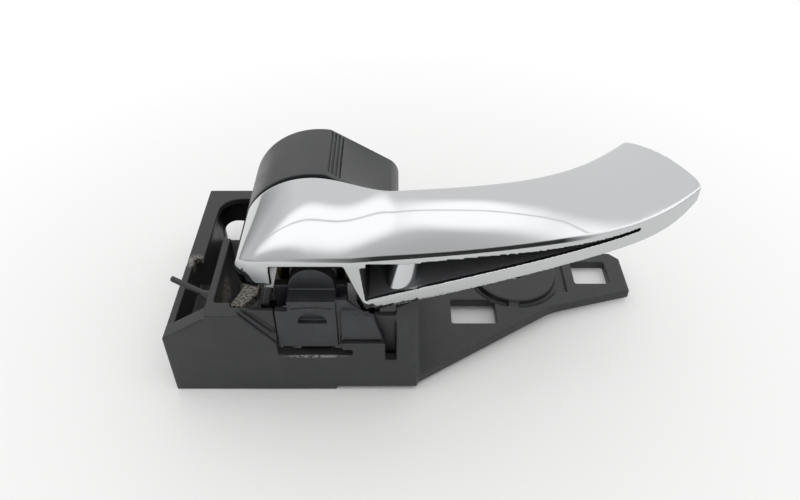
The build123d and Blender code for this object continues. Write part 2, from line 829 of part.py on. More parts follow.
spring_way = (cos(radians(spring_start)), 0, sin(radians(spring_start)))
spring_plane = Plane(pivot_plane(spring_front).origin, x_dir=spring_way, z_dir=(0, 1, 0))
coil = spring_plane * Helix(spring_pitch, spring_turns * spring_pitch, spring_radius, lefthand=True)
coil_steps = spring_steps * spring_turns

with BuildPart() as spring:
    # Leg that bears on the block's lug, the coil round the lever's barrel, and the short tang at the back
    with BuildLine() as wire:
        leg_end = coil @ 0 - (coil % 0) * spring_leg
        tang_end = coil @ 1 + (coil % 1) * spring_tang
        Polyline(leg_end, *[coil @ (step / coil_steps) for step in range(coil_steps + 1)], tang_end)
    with BuildSketch(Plane(leg_end, z_dir=coil % 0)):
        RegularPolygon(spring_wire / 2, spring_sides)
    sweep(path=wire.line, transition=Transition.RIGHT)

with BuildPart() as lever_rest_pad:
    with BuildSketch(upright(lever_stop_depth)):
        with BuildLine():
            Polyline(*pad_corners(lever_crank_angle, -1), close=True)
        make_face()
    extrude(amount=-crank_thickness)

with BuildPart() as lever_pull_pad:
    with BuildSketch(upright(lever_stop_depth)):
        with BuildLine():
            Polyline(*pad_corners(lever_crank_angle + lever_pull, 1), close=True)
        make_face()
    extrude(amount=-crank_thickness)

with BuildPart() as lock_pad:
    with BuildSketch(upright(knob_stop_depth)):
        with BuildLine():
            Polyline(*pad_corners(knob_crank_angle - knob_turn, -1), close=True)
        make_face()
    extrude(amount=-crank_thickness)

with BuildPart() as unlock_pad:
    with BuildSketch(upright(knob_stop_depth)):
        with BuildLine():
            Polyline(*pad_corners(knob_crank_angle, 1), close=True)
        make_face()
    extrude(amount=-crank_thickness)

with BuildPart() as leaf:
    # Bowed strip under the tip of the knob's crank
    leaf_left = stop_face(knob_crank_angle - knob_turn, -1) + leaf_clearance
    leaf_right = stop_face(knob_crank_angle, 1) - leaf_clearance
    leaf_middle = (leaf_left + leaf_right) / 2
    leaf_foot = floor_top + running_gap
    leaf_crest = pivot_height - crank_reach - crank_width / 2 - leaf_clearance
    with BuildSketch(upright(knob_stop_depth + (crank_thickness - leaf_width) / 2)):
        with BuildLine():
            upper = ThreePointArc(
                (leaf_left, leaf_foot + leaf_thickness),
                (leaf_middle, leaf_crest),
                (leaf_right, leaf_foot + leaf_thickness),
            )
            lower = ThreePointArc(
                (leaf_left, leaf_foot),
                (leaf_middle, leaf_crest - leaf_thickness),
                (leaf_right, leaf_foot),
            )
            Line(upper @ 0, lower @ 0)
            Line(upper @ 1, lower @ 1)
        make_face()
    extrude(amount=-leaf_width)

housing.part.label = "base_housing"
export_step(housing.part, "parts/base_housing.step")
fixing_plate.part.label = "fixing_plate"
export_step(fixing_plate.part, "parts/fixing_plate.step")
block.part.label = "bearing_block"
export_step(block.part, "parts/bearing_block.step")
lever.part.label = "handle_lever"
export_step(lever.part, "parts/handle_lever.step")
knob.part.label = "lock_knob"
export_step(knob.part, "parts/lock_knob.step")
pin.part.label = "pivot_pin"
export_step(pin.part, "parts/pivot_pin.step")
ring.part.label = "pin_retaining_ring"
export_step(ring.part, "parts/pin_retaining_ring.step")
front_washer.part.label = "front_washer"
export_step(front_washer.part, "parts/front_washer.step")
middle_washer.part.label = "middle_washer"
export_step(middle_washer.part, "parts/middle_washer.step")
rear_washer.part.label = "rear_washer"
export_step(rear_washer.part, "parts/rear_washer.step")
spring.part.label = "lever_return_spring"
export_step(spring.part, "parts/lever_return_spring.step")
leaf.part.label = "lock_detent_leaf"
export_step(leaf.part, "parts/lock_detent_leaf.step")
lever_rest_pad.part.label = "lever_rest_pad"
export_step(lever_rest_pad.part, "parts/lever_rest_pad.step")
lever_pull_pad.part.label = "lever_pull_pad"
export_step(lever_pull_pad.part, "parts/lever_pull_pad.step")
lock_pad.part.label = "lock_stop_pad"
export_step(lock_pad.part, "parts/lock_stop_pad.step")
unlock_pad.part.label = "unlock_stop_pad"
export_step(unlock_pad.part, "parts/unlock_stop_pad.step")
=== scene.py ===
"""Car interior door handle: a chromed pull lever and a lock knob on a moulded base, laid on a white table."""

import math

import bmesh
import bpy
from mathutils import Matrix, Vector, noise
from mathutils.bvhtree import BVHTree


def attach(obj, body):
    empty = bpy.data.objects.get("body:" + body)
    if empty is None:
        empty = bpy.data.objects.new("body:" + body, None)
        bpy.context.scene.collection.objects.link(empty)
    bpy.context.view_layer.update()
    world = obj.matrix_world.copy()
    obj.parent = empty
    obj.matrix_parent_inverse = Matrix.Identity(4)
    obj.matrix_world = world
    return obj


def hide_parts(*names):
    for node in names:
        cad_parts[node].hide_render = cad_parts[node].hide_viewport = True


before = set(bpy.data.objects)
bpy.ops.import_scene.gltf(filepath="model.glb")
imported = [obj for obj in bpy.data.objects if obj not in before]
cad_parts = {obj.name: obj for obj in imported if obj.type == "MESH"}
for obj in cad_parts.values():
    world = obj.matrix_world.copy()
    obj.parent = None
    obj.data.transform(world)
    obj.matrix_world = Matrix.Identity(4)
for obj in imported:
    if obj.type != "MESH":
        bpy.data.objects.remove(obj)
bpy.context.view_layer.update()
scene = bpy.context.scene
scene.view_settings.view_transform = "Standard"
MM = 0.001

# Sizes in millimetres. Runs and heights count from the pivot, depths from the front.
# The lever's are the solid's, but for its waist, which starts nearer the hub, and its tip, further back and lower.
PIVOT_X = -63.5
FRONT_Y = -46.0
PIVOT_Z = 36.0
HUB_RADIUS = 22.0
HUB_CORNER = 9.0
LEVER_FRONT = 4.2
LEVER_BACK = 29.0
LEVER_ROOT = 11.5
LEVER_REACH = 91.0
LEVER_END = 105
FRONT_SWEEP = 14.0
FRONT_BEND = 2.6
BACK_SWEEP = 24.0
BACK_BEND = 4.0
WAIST_START = 2.0
WAIST_LENGTH = 82.0
WAIST_DEPTH = 6.0
WAIST_ARCH = 5.3
TIP_SWEEP = 2.5
TIP_SINK = 2.0
TIP_BEND = 9.0
TIP_SHOULDER = 44.0
CREASE = 11.7
CREASE_RISE = 8.4
CREASE_SAG = 4.2
CREASE_LIFT = 7.6
CROWN = 16.9
CROWN_RISE = 11.3
CROWN_BEND = 2.4
CROWN_LIFT = 2.2
KEEL = 11.0
KEEL_DROP = 19.2
KEEL_BEND = 1.5
KEEL_LIFT = 7.0
KEEL_TIP_BEND = 16.0
ROUND = 1.8
SKIN = 2.3
WEB_TOP = 9.2
WEB_FOOT = 14.6
WINDOW_TOP = 9.7
PILLAR_RUN = 25.5
PILLAR_RADIUS = 6.0
WINDOW_LEFT = -10.5
ARM_START = 15.3
ARM_LENGTH = 73.7
ARM_STEPS = 40
KEEL_SKIN = 3.9
SKIRT_RUN = -9.0
SKIRT_TOP = 11.0
SKIRT_MIDDLE = 22.0


def linear(code):
    """Linear colour of an sRGB hex code."""
    shares = [int(code[place:place + 2], 16) / 255 for place in (1, 3, 5)]
    return [((s + 0.055) / 1.055) ** 2.4 if s > 0.04045 else s / 12.92 for s in shares] + [1.0]


def add(tree, kind, inputs=(), out=0, **settings):
    """Adds a node with its settings, values and links, and gives back one of its outputs."""
    node = tree.nodes.new(kind)
    for name, value in settings.items():
        setattr(node, name, value)
    for name, value in dict(inputs).items():
        if isinstance(value, bpy.types.NodeSocket):
            tree.links.new(value, node.inputs[name])
        else:
            node.inputs[name].default_value = value
    return node.outputs[out] if node.outputs else node


def new_material(name):
    """An empty node material, its tree, and its object coordinates in millimetres."""
    material = bpy.data.materials.new(name)
    material.use_nodes = True
    tree = material.node_tree
    tree.nodes.clear()
    place = add(tree, "ShaderNodeTexCoord", out="Object")
    spot = add(tree, "ShaderNodeVectorMath", {0: place, 1: (1000, 1000, 1000)}, operation="MULTIPLY")
    return material, tree, spot


def near(tree, spot, centre, inner, outer, stretch=1.0):
    """One inside a ball round a point, falling to zero at its outer radius, and longer in X if stretched."""
    offset = add(tree, "ShaderNodeVectorMath", {0: spot, 1: centre}, operation="SUBTRACT")
    offset = add(tree, "ShaderNodeVectorMath", {0: offset, 1: (1 / stretch, 1, 1)}, operation="MULTIPLY")
    away = add(tree, "ShaderNodeVectorMath", {0: offset}, out="Value", operation="LENGTH")
    return add(tree, "ShaderNodeMapRange", {0: away, 1: inner, 2: outer, 3: 1.0, 4: 0.0})


def moulded_plastic(name, body, rubbed, roughness, grain_mm, dust, spots=()):
    """Black plastic from an eroded mould: fine grain breaks the gloss, rubbed patches go pale, dust lies on ledges."""
    rub_mm, fleck_mm = 9, 0.7
    material, tree, spot = new_material(name)
    grain = add(tree, "ShaderNodeTexNoise", {"Vector": spot, "Scale": 1 / grain_mm, "Detail": 2.0})
    cloud = add(tree, "ShaderNodeTexNoise", {"Vector": spot, "Scale": 1 / rub_mm, "Detail": 5.0, "Roughness": 0.6})
    fleck = add(tree, "ShaderNodeTexNoise", {"Vector": spot, "Scale": 1 / fleck_mm, "Detail": 1.0})
    up = add(tree, "ShaderNodeNewGeometry", out="Normal")
    up = add(tree, "ShaderNodeSeparateXYZ", {0: up}, out="Z")
    patch = add(tree, "ShaderNodeMapRange", {0: cloud, 1: 0.45, 2: 0.75, 3: 0.0, 4: 0.6})
    colour = add(tree, "ShaderNodeMix", {0: patch, 6: linear(body), 7: linear(rubbed)}, 2, data_type="RGBA")
    ledge = add(tree, "ShaderNodeMapRange", {0: up, 1: 0.5, 2: 1.0, 3: 0.0, 4: dust})
    specks = add(tree, "ShaderNodeMapRange", {0: fleck, 1: 0.56, 2: 0.72, 3: 0.0, 4: 1.0})
    grit = add(tree, "ShaderNodeMapRange", {0: fleck, 1: 0.36, 2: 0.56, 3: 0.0, 4: 1.0})
    dusty = add(tree, "ShaderNodeMath", {0: ledge, 1: specks}, operation="MULTIPLY")
    colour = add(tree, "ShaderNodeMix", {0: dusty, 6: colour, 7: linear("#8C877C")}, 2, data_type="RGBA")
    for centre, inner, outer, stretch, tint, strength in spots:
        mask = near(tree, spot, centre, inner, outer, stretch)
        mask = add(tree, "ShaderNodeMath", {0: mask, 1: grit}, operation="MULTIPLY")
        mask = add(tree, "ShaderNodeMath", {0: mask, 1: strength}, operation="MULTIPLY", use_clamp=True)
        colour = add(tree, "ShaderNodeMix", {0: mask, 6: colour, 7: linear(tint)}, 2, data_type="RGBA")
    matt = add(tree, "ShaderNodeMapRange", {0: cloud, 1: 0.3, 2: 0.7, 3: roughness - 0.06, 4: roughness + 0.08})
    bump = add(tree, "ShaderNodeBump", {"Height": grain, "Strength": 0.15, "Distance": 0.00006})
    shader = add(
        tree,
        "ShaderNodeBsdfPrincipled",
        {"Base Color": colour, "Roughness": matt, "IOR": 1.53, "Normal": bump},
    )
    add(tree, "ShaderNodeOutputMaterial", {"Surface": shader})
    return material


def along_lever(tree, spot):
    """Share of the way along the lever's arm, the depth behind its front face and the height over the pivot."""
    x, y, z = add(tree, "ShaderNodeSeparateXYZ", {0: spot}).node.outputs
    root = PIVOT_X + LEVER_ROOT
    share = add(tree, "ShaderNodeMapRange", {0: x, 1: root, 2: root + LEVER_REACH, 3: 0.0, 4: 1.0})
    front = add(tree, "ShaderNodeMath", {0: share, 1: FRONT_BEND}, operation="POWER")
    front = add(tree, "ShaderNodeMath", {0: front, 1: FRONT_SWEEP, 2: FRONT_Y + LEVER_FRONT}, operation="MULTIPLY_ADD")
    behind = add(tree, "ShaderNodeMath", {0: y, 1: front}, operation="SUBTRACT")
    height = add(tree, "ShaderNodeMath", {0: z, 1: PIVOT_Z}, operation="SUBTRACT")
    return share, behind, height


def plated_chrome(name):
    """Bright chromium on polished plastic: a mirror, faintly wavy from the moulding below, with a few hairlines."""
    wave_mm, hair_mm, grit_mm = 16, 1.6, 0.55
    material, tree, spot = new_material(name)
    wave = add(tree, "ShaderNodeTexNoise", {"Vector": spot, "Scale": 1 / wave_mm, "Detail": 1.0})
    hair = add(tree, "ShaderNodeTexNoise", {"Vector": spot, "Scale": 1 / hair_mm, "Detail": 6.0, "Roughness": 0.7})
    bump = add(tree, "ShaderNodeBump", {"Height": wave, "Strength": 0.25, "Distance": 0.0002})
    gloss = add(tree, "ShaderNodeMapRange", {0: hair, 1: 0.35, 2: 0.75, 3: 0.045, 4: 0.11})
    # Gritty dirt low on the hub's foot
    grit = add(tree, "ShaderNodeTexNoise", {"Vector": spot, "Scale": 1 / grit_mm, "Detail": 2.0})
    grit = add(tree, "ShaderNodeMapRange", {0: grit, 1: 0.47, 2: 0.6, 3: 0.0, 4: 1.0})
    foot = near(tree, spot, (-81.0, -38.0, 24.5), 5.0, 8.5)
    foot = add(tree, "ShaderNodeMath", {0: foot, 1: grit}, operation="MULTIPLY")
    colour = add(
        tree, "ShaderNodeMix", {0: foot, 6: linear("#C6C7C8"), 7: linear("#6E675A")}, 2, data_type="RGBA"
    )
    gloss = add(tree, "ShaderNodeMix", {0: foot, 2: gloss, 3: 0.7}, 0)
    # Painted dark reflection on the foot of the hub's skirt: the chrome's colour is darkened there
    painted_dark_reflection = near(tree, spot, (-79.8, -38.5, 37.0), 5.5, 10.0)
    painted_dark_reflection = add(tree, "ShaderNodeMath", {0: painted_dark_reflection, 1: 0.75}, operation="MULTIPLY")
    colour = add(tree, "ShaderNodeMix", {0: painted_dark_reflection, 6: colour, 7: linear("#5A5F67")}, 2, data_type="RGBA")
    # Painted shade along the groove of the crease: a near-black line mixed into the chrome's colour, fading out at
    # both ends
    share, behind, height = along_lever(tree, spot)
    crease = add(tree, "ShaderNodeMath", {0: share, 1: -CREASE_SAG, 2: CREASE_RISE}, operation="MULTIPLY_ADD")
    crease = add(tree, "ShaderNodeMath", {0: crease, 1: share, 2: CREASE + 0.15}, operation="MULTIPLY_ADD")
    above = add(tree, "ShaderNodeMath", {0: height, 1: crease}, operation="SUBTRACT")
    above = add(tree, "ShaderNodeMath", {0: above}, operation="ABSOLUTE")
    line = add(tree, "ShaderNodeMapRange", {0: above, 1: 0.42, 2: 0.62, 3: 1.0, 4: 0.0})
    shallow = add(tree, "ShaderNodeMapRange", {0: behind, 1: 0.8, 2: 1.2, 3: 1.0, 4: 0.0})
    along = add(tree, "ShaderNodeSeparateXYZ", {0: spot}, out="X")
    start = add(tree, "ShaderNodeMapRange", {0: along, 1: -70.0, 2: -46.0, 3: 0.0, 4: 0.95})
    end = add(tree, "ShaderNodeMapRange", {0: along, 1: 4.0, 2: 14.0, 3: 1.0, 4: 0.0})
    for limit in (shallow, start, end):
        line = add(tree, "ShaderNodeMath", {0: line, 1: limit}, operation="MULTIPLY")
    colour = add(tree, "ShaderNodeMix", {0: line, 6: colour, 7: linear("#1B1B1C")}, 2, data_type="RGBA")
    shader = add(
        tree,
        "ShaderNodeBsdfPrincipled",
        {"Base Color": colour, "Metallic": 1.0, "Roughness": gloss, "Normal": bump},
    )
    add(tree, "ShaderNodeOutputMaterial", {"Surface": shader})
    return material


def shaded_plating(name):
    """Thin grey plating inside the lever, where the bath hardly reaches: dull, with bright grains at the tip. Its
    darker grey is also painted shade in the hollows and in the crease groove.
    """
    grain_mm = 0.6
    material, tree, spot = new_material(name)
    grain = add(tree, "ShaderNodeTexNoise", {"Vector": spot, "Scale": 1 / grain_mm, "Detail": 3.0, "Roughness": 0.7})
    bright = add(tree, "ShaderNodeMapRange", {0: grain, 1: 0.55, 2: 0.7, 3: 0.0, 4: 1.0})
    along = add(tree, "ShaderNodeSeparateXYZ", {0: spot}, out="X")
    tip = add(tree, "ShaderNodeMapRange", {0: along, 1: -20.0, 2: 26.0, 3: 0.1, 4: 0.9})
    bright = add(tree, "ShaderNodeMath", {0: bright, 1: tip}, operation="MULTIPLY")
    colour = add(
        tree, "ShaderNodeMix", {0: bright, 6: linear("#6C6D6F"), 7: linear("#B6B7B8")}, 2, data_type="RGBA"
    )
    # Bright again on the first millimetre, at the rim of each opening
    behind = along_lever(tree, spot)[1]
    rim = add(tree, "ShaderNodeMapRange", {0: behind, 1: 1.0, 2: 1.5, 3: 1.0, 4: 0.0})
    colour = add(tree, "ShaderNodeMix", {0: rim, 6: colour, 7: linear("#C6C7C8")}, 2, data_type="RGBA")
    matt = add(tree, "ShaderNodeMapRange", {0: rim, 3: 0.42, 4: 0.1})
    metal = add(tree, "ShaderNodeMapRange", {0: rim, 3: 0.6, 4: 1.0})
    bump = add(tree, "ShaderNodeBump", {"Height": grain, "Strength": 0.4, "Distance": 0.0002})
    shader = add(
        tree,
        "ShaderNodeBsdfPrincipled",
        {"Base Color": colour, "Metallic": metal, "Roughness": matt, "Normal": bump},
    )
    add(tree, "ShaderNodeOutputMaterial", {"Surface": shader})
    return material


def drawn_steel(name, tint, stain, roughness):
    """Drawn steel with its plating: fine lines along the draw and cloudy stain from handling and grease."""
    line_mm, stain_mm = 0.5, 2.5
    material, tree, spot = new_material(name)
    stretched = add(tree, "ShaderNodeVectorMath", {0: spot, 1: (4.0, 0.3, 4.0)}, operation="MULTIPLY")
    lines = add(tree, "ShaderNodeTexNoise", {"Vector": stretched, "Scale": 1 / line_mm, "Detail": 3.0})
    cloud = add(tree, "ShaderNodeTexNoise", {"Vector": spot, "Scale": 1 / stain_mm, "Detail": 4.0})
    patch = add(tree, "ShaderNodeMapRange", {0: cloud, 1: 0.4, 2: 0.7, 3: 0.0, 4: 0.8})
    colour = add(tree, "ShaderNodeMix", {0: patch, 6: linear(tint), 7: linear(stain)}, 2, data_type="RGBA")
    matt = add(tree, "ShaderNodeMapRange", {0: lines, 1: 0.3, 2: 0.7, 3: roughness - 0.08, 4: roughness + 0.1})
    bump = add(tree, "ShaderNodeBump", {"Height": lines, "Strength": 0.2, "Distance": 0.00003})
    shader = add(
        tree,
        "ShaderNodeBsdfPrincipled",
        {"Base Color": colour, "Metallic": 1.0, "Roughness": matt, "Normal": bump},
    )
    add(tree, "ShaderNodeOutputMaterial", {"Surface": shader})
    return material


def plain_moulding(name, body, stain, roughness, ior):
    """A small plain moulding, such as a washer or a pad: one colour with greasy stains and a dull skin."""
    stain_mm = 2.0
    material, tree, spot = new_material(name)
    cloud = add(tree, "ShaderNodeTexNoise", {"Vector": spot, "Scale": 1 / stain_mm, "Detail": 4.0})
    patch = add(tree, "ShaderNodeMapRange", {0: cloud, 1: 0.42, 2: 0.7, 3: 0.0, 4: 0.7})
    colour = add(tree, "ShaderNodeMix", {0: patch, 6: linear(body), 7: linear(stain)}, 2, data_type="RGBA")
    bump = add(tree, "ShaderNodeBump", {"Height": cloud, "Strength": 0.2, "Distance": 0.00005})
    shader = add(
        tree,
        "ShaderNodeBsdfPrincipled",
        {"Base Color": colour, "Roughness": roughness, "IOR": ior, "Normal": bump},
    )
    add(tree, "ShaderNodeOutputMaterial", {"Surface": shader})
    return material


# Broken edge of the left flange, dust on the ledge and the rubbed edge under the block
BREAK_AT = (-103.6, -13.2, 21.6)
base_plastic = moulded_plastic(
    "abs_moulded_black",
    "#242527",
    "#3A3B3D",
    0.46,
    0.45,
    0.04,
    [
        (BREAK_AT, 2.0, 3.6, 1.0, "#B9B4A8", 0.5),
        ((-85.0, -28.5, 22.4), 6.5, 9.0, 1.0, "#A8A294", 0.9),
        ((-63.2, -46.0, 15.1), 0.35, 0.75, 14.0, "#9B9B98", 0.6),
    ],
)
block_plastic = moulded_plastic("acetal_moulded_black", "#292A2D", "#3E4043", 0.4, 0.35, 0.05)
knob_plastic = moulded_plastic("abs_moulded_satin_dark", "#303133", "#37383A", 0.36, 0.3, 0.0)
chrome = plated_chrome("abs_chromium_plated")
# Darker copy of the chrome for inside faces: thin plating, and partly painted shade
dull_plating_and_painted_shade = shaded_plating("abs_thin_plated_inside_and_painted_shade")
pin_steel = drawn_steel("steel_drawn_zinc_plated", "#B9BABB", "#8B8578", 0.3)
leaf_steel = drawn_steel("steel_rolled_spring_strip", "#8E9092", "#6A655B", 0.35)
wire_steel = drawn_steel("steel_wire_yellow_passivated", "#A58D57", "#5E4C2A", 0.32)
nylon = plain_moulding("nylon_moulded_natural", "#D8D2BF", "#8D8470", 0.45, 1.53)
rubber = plain_moulding("rubber_moulded_black", "#1E1E1F", "#37352F", 0.75, 1.52)


def mesh_piece(name, points, faces):
    """A new object from points in millimetres, its faces turned outwards."""
    mesh = bpy.data.meshes.new(name)
    mesh.from_pydata([Vector(point) * MM for point in points], [], faces)
    shape = bmesh.new()
    shape.from_mesh(mesh)
    bmesh.ops.remove_doubles(shape, verts=shape.verts, dist=1e-7)
    bmesh.ops.recalc_face_normals(shape, faces=shape.faces)
    shape.to_mesh(mesh)
    shape.free()
    piece = bpy.data.objects.new(name, mesh)
    scene.collection.objects.link(piece)
    return piece


def loft(name, rings):
    """A closed skin through rings of equally many points, with a cap at each end."""
    count = len(rings[0])
    points = [point for ring in rings for point in ring]
    faces = [list(range(count)), list(range(len(points) - count, len(points)))]
    for step in range(len(rings) - 1):
        low = step * count
        for i in range(count):
            j = (i + 1) % count
            faces.append([low + i, low + j, low + count + j, low + count + i])
    return mesh_piece(name, points, faces)


def tube(name, path, radii, sides):
    """A round bar along a path in millimetres, with a radius at each point."""
    path = [Vector(point) for point in path]
    rings = []
    side = None
    for i, point in enumerate(path):
        way = (path[min(i + 1, len(path) - 1)] - path[max(i - 1, 0)]).normalized()
        side = way.orthogonal() if side is None else side - way * side.dot(way)
        side.normalize()
        other = way.cross(side)
        turns = [2 * math.pi * k / sides for k in range(sides)]
        rings.append([point + (side * math.cos(t) + other * math.sin(t)) * radii[i] for t in turns])
    return loft(name, rings)


def at(run, depth, height):
    """A run, depth and height as a point in the part's frame."""
    return PIVOT_X + run, FRONT_Y + depth, PIVOT_Z + height


def prism(name, outline, front, back):
    """A prism through an outline of runs and heights, between two depths."""
    return loft(name, [[at(run, depth, height) for run, height in outline] for depth in (front, back)])


def circle(run, height, radius, sides=64):
    """A round outline of runs and heights."""
    turns = [2 * math.pi * k / sides for k in range(sides)]
    return [(run + radius * math.cos(t), height + radius * math.sin(t)) for t in turns]


def settle(piece):
    """Makes the piece's modifiers real."""
    shape = bpy.data.meshes.new_from_object(piece.evaluated_get(bpy.context.evaluated_depsgraph_get()))
    piece.modifiers.clear()
    piece.data = shape


def carve(piece, tool, operation="DIFFERENCE"):
    """Cuts or joins the piece with a tool, which is then thrown away."""
    cut = piece.modifiers.new("cut", "BOOLEAN")
    cut.operation = operation
    cut.solver = "EXACT"
    cut.object = tool
    settle(piece)
    bpy.data.objects.remove(tool)


def slab(name, low, high):
    """A straight block between two corners, for a cut or a ledge."""
    corners = [(low[0], low[1]), (high[0], low[1]), (high[0], high[1]), (low[0], high[1])]
    return loft(name, [[(x, y, height) for x, y in corners] for height in (low[2], high[2])])


def join(piece, others):
    """Adds the meshes of other pieces to a piece. The remesh then makes them one."""
    shape = bmesh.new()
    for source in [piece] + others:
        shape.from_mesh(source.data)
    shape.to_mesh(piece.data)
    shape.free()
    for source in others:
        bpy.data.objects.remove(source)


def copy_of(nodes, name):
    """A new piece with a copy of the meshes of some solids, welded along their edges."""
    shape = bmesh.new()
    for node in nodes:
        shape.from_mesh(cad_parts[node].data)
    bmesh.ops.remove_doubles(shape, verts=shape.verts, dist=2e-6)
    mesh = bpy.data.meshes.new(name)
    shape.to_mesh(mesh)
    shape.free()
    piece = bpy.data.objects.new(name, mesh)
    scene.collection.objects.link(piece)
    return piece


def soften(piece, voxel, passes):
    """Rounds every edge a little, as a mould does, by an even remesh and some smoothing."""
    even = piece.modifiers.new("even", "REMESH")
    even.mode = "VOXEL"
    even.voxel_size = voxel * MM
    smooth = piece.modifiers.new("smooth", "SMOOTH")
    smooth.factor = 0.5
    smooth.iterations = passes
    settle(piece)


def slim(piece, share, fair=None, group=""):
    """Drops faces where the shape is flat, and keeps the shading of the full mesh and of a fair surface."""
    piece.data.polygons.foreach_set("use_smooth", [True] * len(piece.data.polygons))
    full = bpy.data.objects.new("full", piece.data.copy())
    scene.collection.objects.link(full)
    fewer = piece.modifiers.new("fewer", "DECIMATE")
    fewer.ratio = share
    for source, mask in ((full, ""), (fair, group)):
        if source:
            shading = piece.modifiers.new("shading", "DATA_TRANSFER")
            shading.object = source
            shading.use_loop_data = True
            shading.data_types_loops = {"CUSTOM_NORMAL"}
            shading.loop_mapping = "POLYINTERP_NEAREST"
            shading.vertex_group = mask
    settle(piece)
    bpy.data.objects.remove(full)


def seat(piece, body, nodes=(), materials=()):
    """Puts a piece on its body, the nodes it stands for and its materials."""
    for material in materials:
        piece.data.materials.append(material)
    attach(piece, body)
    if nodes:
        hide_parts(*nodes)


# Lever


def lever_sizes(run):
    """Front, back, crease, crown, keel, lead and squareness of the lever's cross section at a run."""
    if run < 0:
        crown = math.sqrt(max(HUB_RADIUS**2 - run**2, 0.01))
        past = max(0.0, -run - HUB_RADIUS + HUB_CORNER)
        front = LEVER_FRONT + HUB_CORNER - math.sqrt(HUB_CORNER**2 - past**2)
        lift = 0.93 * crown
        crease = (CREASE + lift - math.sqrt((CREASE - lift) ** 2 + 2 * (run / HUB_RADIUS) ** 2)) / 2
        keel = max(KEEL - KEEL_DROP, -crown)
        return front, LEVER_BACK, crease, crown, keel, 0.35 * (1 + run / HUB_RADIUS), 1.0
    share = max(0.0, (run - LEVER_ROOT) / LEVER_REACH)
    hub = max(0.0, 1 - run / (2 * LEVER_ROOT))
    waist = math.sin(math.pi * min(1.0, max(0.0, (run - WAIST_START) / WAIST_LENGTH))) ** 2
    lay = min(1.0, max(0.0, (share - 0.55) / 0.35))
    lay = lay * lay * (3 - 2 * lay)
    front = LEVER_FRONT + FRONT_SWEEP * share**FRONT_BEND
    back = LEVER_BACK + BACK_SWEEP * share**BACK_BEND - WAIST_DEPTH * waist + TIP_SWEEP * lay
    crease = CREASE + CREASE_RISE * share - CREASE_SAG * share**2 + CREASE_LIFT * share**TIP_BEND
    crown = CROWN + CROWN_RISE * share**CROWN_BEND + CROWN_LIFT * share**TIP_BEND + WAIST_ARCH * waist - TIP_SINK * lay
    crown += (HUB_RADIUS - CROWN) * hub**2 * (3 - 2 * hub)
    keel = KEEL - KEEL_DROP * max(0.0, 1 - share) ** KEEL_BEND + KEEL_LIFT * share**KEEL_TIP_BEND
    return front, back, crease, crown, keel, 0.35, hub


def straight(start, end, steps):
    """Points from a start up to, but not at, an end."""
    return [tuple(a + (b - a) * k / steps for a, b in zip(start, end)) for k in range(steps)]


def bezier(knots, steps):
    """Points along a cubic curve, up to, but not at, its end."""
    points = []
    for k in range(steps):
        t = k / steps
        weights = ((1 - t) ** 3, 3 * t * (1 - t) ** 2, 3 * t * t * (1 - t), t**3)
        points.append(tuple(sum(w * knot[axis] for w, knot in zip(weights, knots)) for axis in (0, 1)))
    return points


def outer_ring(run):
    """The lever's outer cross section: crown, rounded heel, back, keel and front."""
    front, back, crease, crown, keel, lead, square = lever_sizes(run)
    width = back - front
    rounding = min(ROUND, 0.3 * (crown - keel))
    ridge = (back - rounding, crown)
    knots = [(front, crease), (front + lead * width, crown), (ridge[0] - 0.2 * width, crown), ridge]
    ring = bezier(knots, 40)
    for k in range(6):
        turn = math.radians(90 - 15 * k)
        ring.append((ridge[0] + rounding * math.cos(turn), crown - rounding + rounding * math.sin(turn)))
    heel = (back, crown - rounding)
    corner = (back - 0.22 * (1 - square) * width, keel + 0.2 * (1 - square) * (heel[1] - keel))
    ring += straight(heel, corner, 10)
    ring += straight(corner, (front, keel), 14)
    ring += straight((front, keel), (front, crease), 12)
    return [at(run, depth, height) for depth, height in ring]


def hollow_ring(run, front_inset, top_inset, keel_inset):
    """A straight sided cross section one skin inside the lever."""
    front, back, crease, crown, keel, lead, square = lever_sizes(run)
    width = back - front
    front, back, keel = front + front_inset, back - SKIN, keel + keel_inset
    heel = crown - ROUND - top_inset
    corner = (back - 0.22 * (1 - square) * width, keel + 0.2 * (1 - square) * (heel - keel))
    brow = (front + lead * width, (crease + crown) / 2 - top_inset)
    ring = [(front, crease - top_inset), brow, (back - ROUND, crown - top_inset), (back, heel), corner, (front, keel)]
    return [at(run, depth, height) for depth, height in ring]


